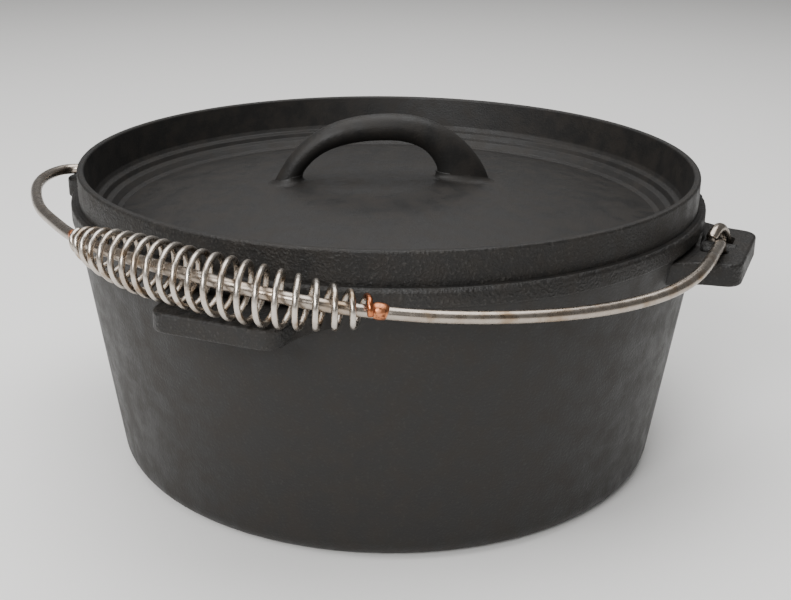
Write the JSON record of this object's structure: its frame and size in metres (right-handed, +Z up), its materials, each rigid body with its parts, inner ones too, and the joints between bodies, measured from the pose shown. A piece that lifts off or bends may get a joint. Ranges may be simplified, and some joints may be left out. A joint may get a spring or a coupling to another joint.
{
  "type": "cast iron dutch oven",
  "caption": "Round flat-based cast iron dutch oven with a recessed domed lid, arched lid handle and folding wire bail with a coil grip.",
  "frame": {"origin": "centre of the flat base, on the surface the pot stands on", "axes": "+Z up along the pot's axis; the two pierced ears and the bail's hinge line lie along X; the bail is folded toward -Y"},
  "size_m": [0.3523, 0.3404, 0.1666],
  "materials": {
    "seasoned_iron": "sand-cast, ground smooth inside, baked-on oil seasoning, low sheen",
    "bail_steel": "drawn steel wire, lightly polished",
    "coil_steel": "bright drawn spring wire, slightly straw-tinted",
    "braze": "copper-coloured braze, as deposited"
  },
  "bodies": {
    "pot": {"pot": "seasoned_iron"},
    "lid": {"lid": "seasoned_iron"},
    "bail": {"bail_wire": "bail_steel", "grip_coil": "coil_steel", "braze_left": "braze", "braze_right": "braze"}
  },
  "joints": [
    {"name": "lid_lift", "type": "slide", "parent": "pot", "child": "lid", "axis": [0, 0, 1], "range_m": [0, 0.2]},
    {"name": "bail_hinge", "type": "hinge", "parent": "pot", "child": "bail", "pos_m": [0, 0, 0.1187], "axis": [-1, 0, 0], "range_deg": [0, 125]}
  ]
}
